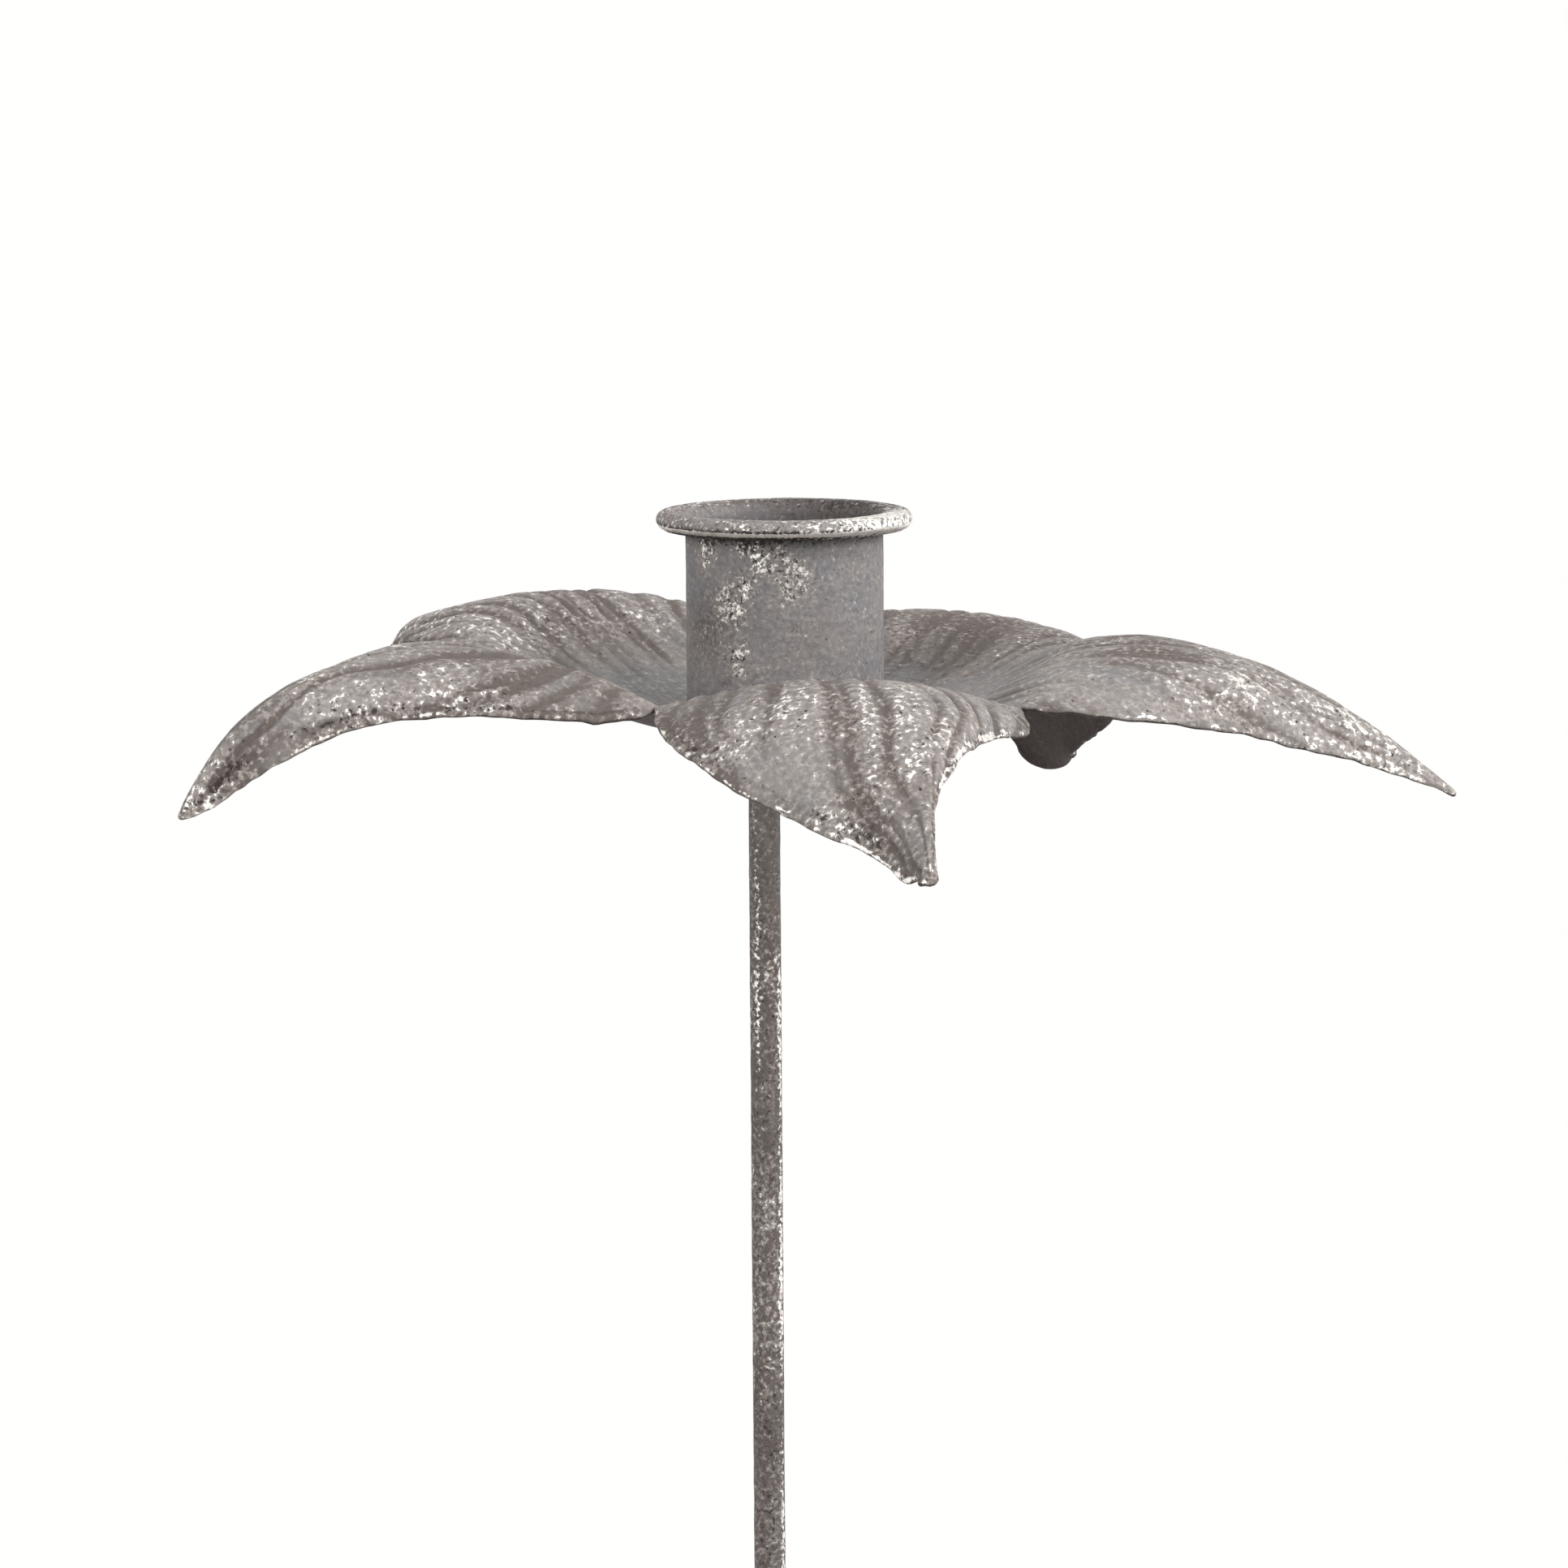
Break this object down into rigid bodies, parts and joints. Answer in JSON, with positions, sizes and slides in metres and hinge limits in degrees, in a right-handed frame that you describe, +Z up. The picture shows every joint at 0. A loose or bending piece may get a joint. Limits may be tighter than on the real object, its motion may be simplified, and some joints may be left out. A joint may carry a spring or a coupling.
{
  "type": "flower candle stand",
  "caption": "Candle stand with a curled-lip socket for a taper candle on a hand-bent flower drip dish, a thin upright rod and a heavy round foot, in grey zinc patina.",
  "frame": {"origin": "centre of the foot's underside, on the rod's axis", "axes": "+Z up along the rod; +X to the right and +Y away from someone who sees it as the picture does"},
  "size_m": [0.1553, 0.1568, 0.3],
  "materials": {
    "socket_patina": "smooth blue-grey zinc patina with silver flecks",
    "petal_patina": "grey-brown zinc patina rubbed to bare metal on the crests and edges",
    "rod_patina": "dark grey-brown patina with bare flecks",
    "foot_patina": "dark grey-brown patina, rubbed bare at the edge",
    "solder": "patinated solder",
    "fastener": "dark patinated steel"
  },
  "bodies": {
    "root": {"candle_socket": "socket_patina", "socket_solder_ring": "solder", "flower_dish": "petal_patina", "stem_boss": "rod_patina", "boss_braze_ring": "solder", "stem_rod": "rod_patina", "foot_lock_nut": "fastener", "foot_washer": "fastener", "foot_disc": "foot_patina"}
  },
  "joints": []
}
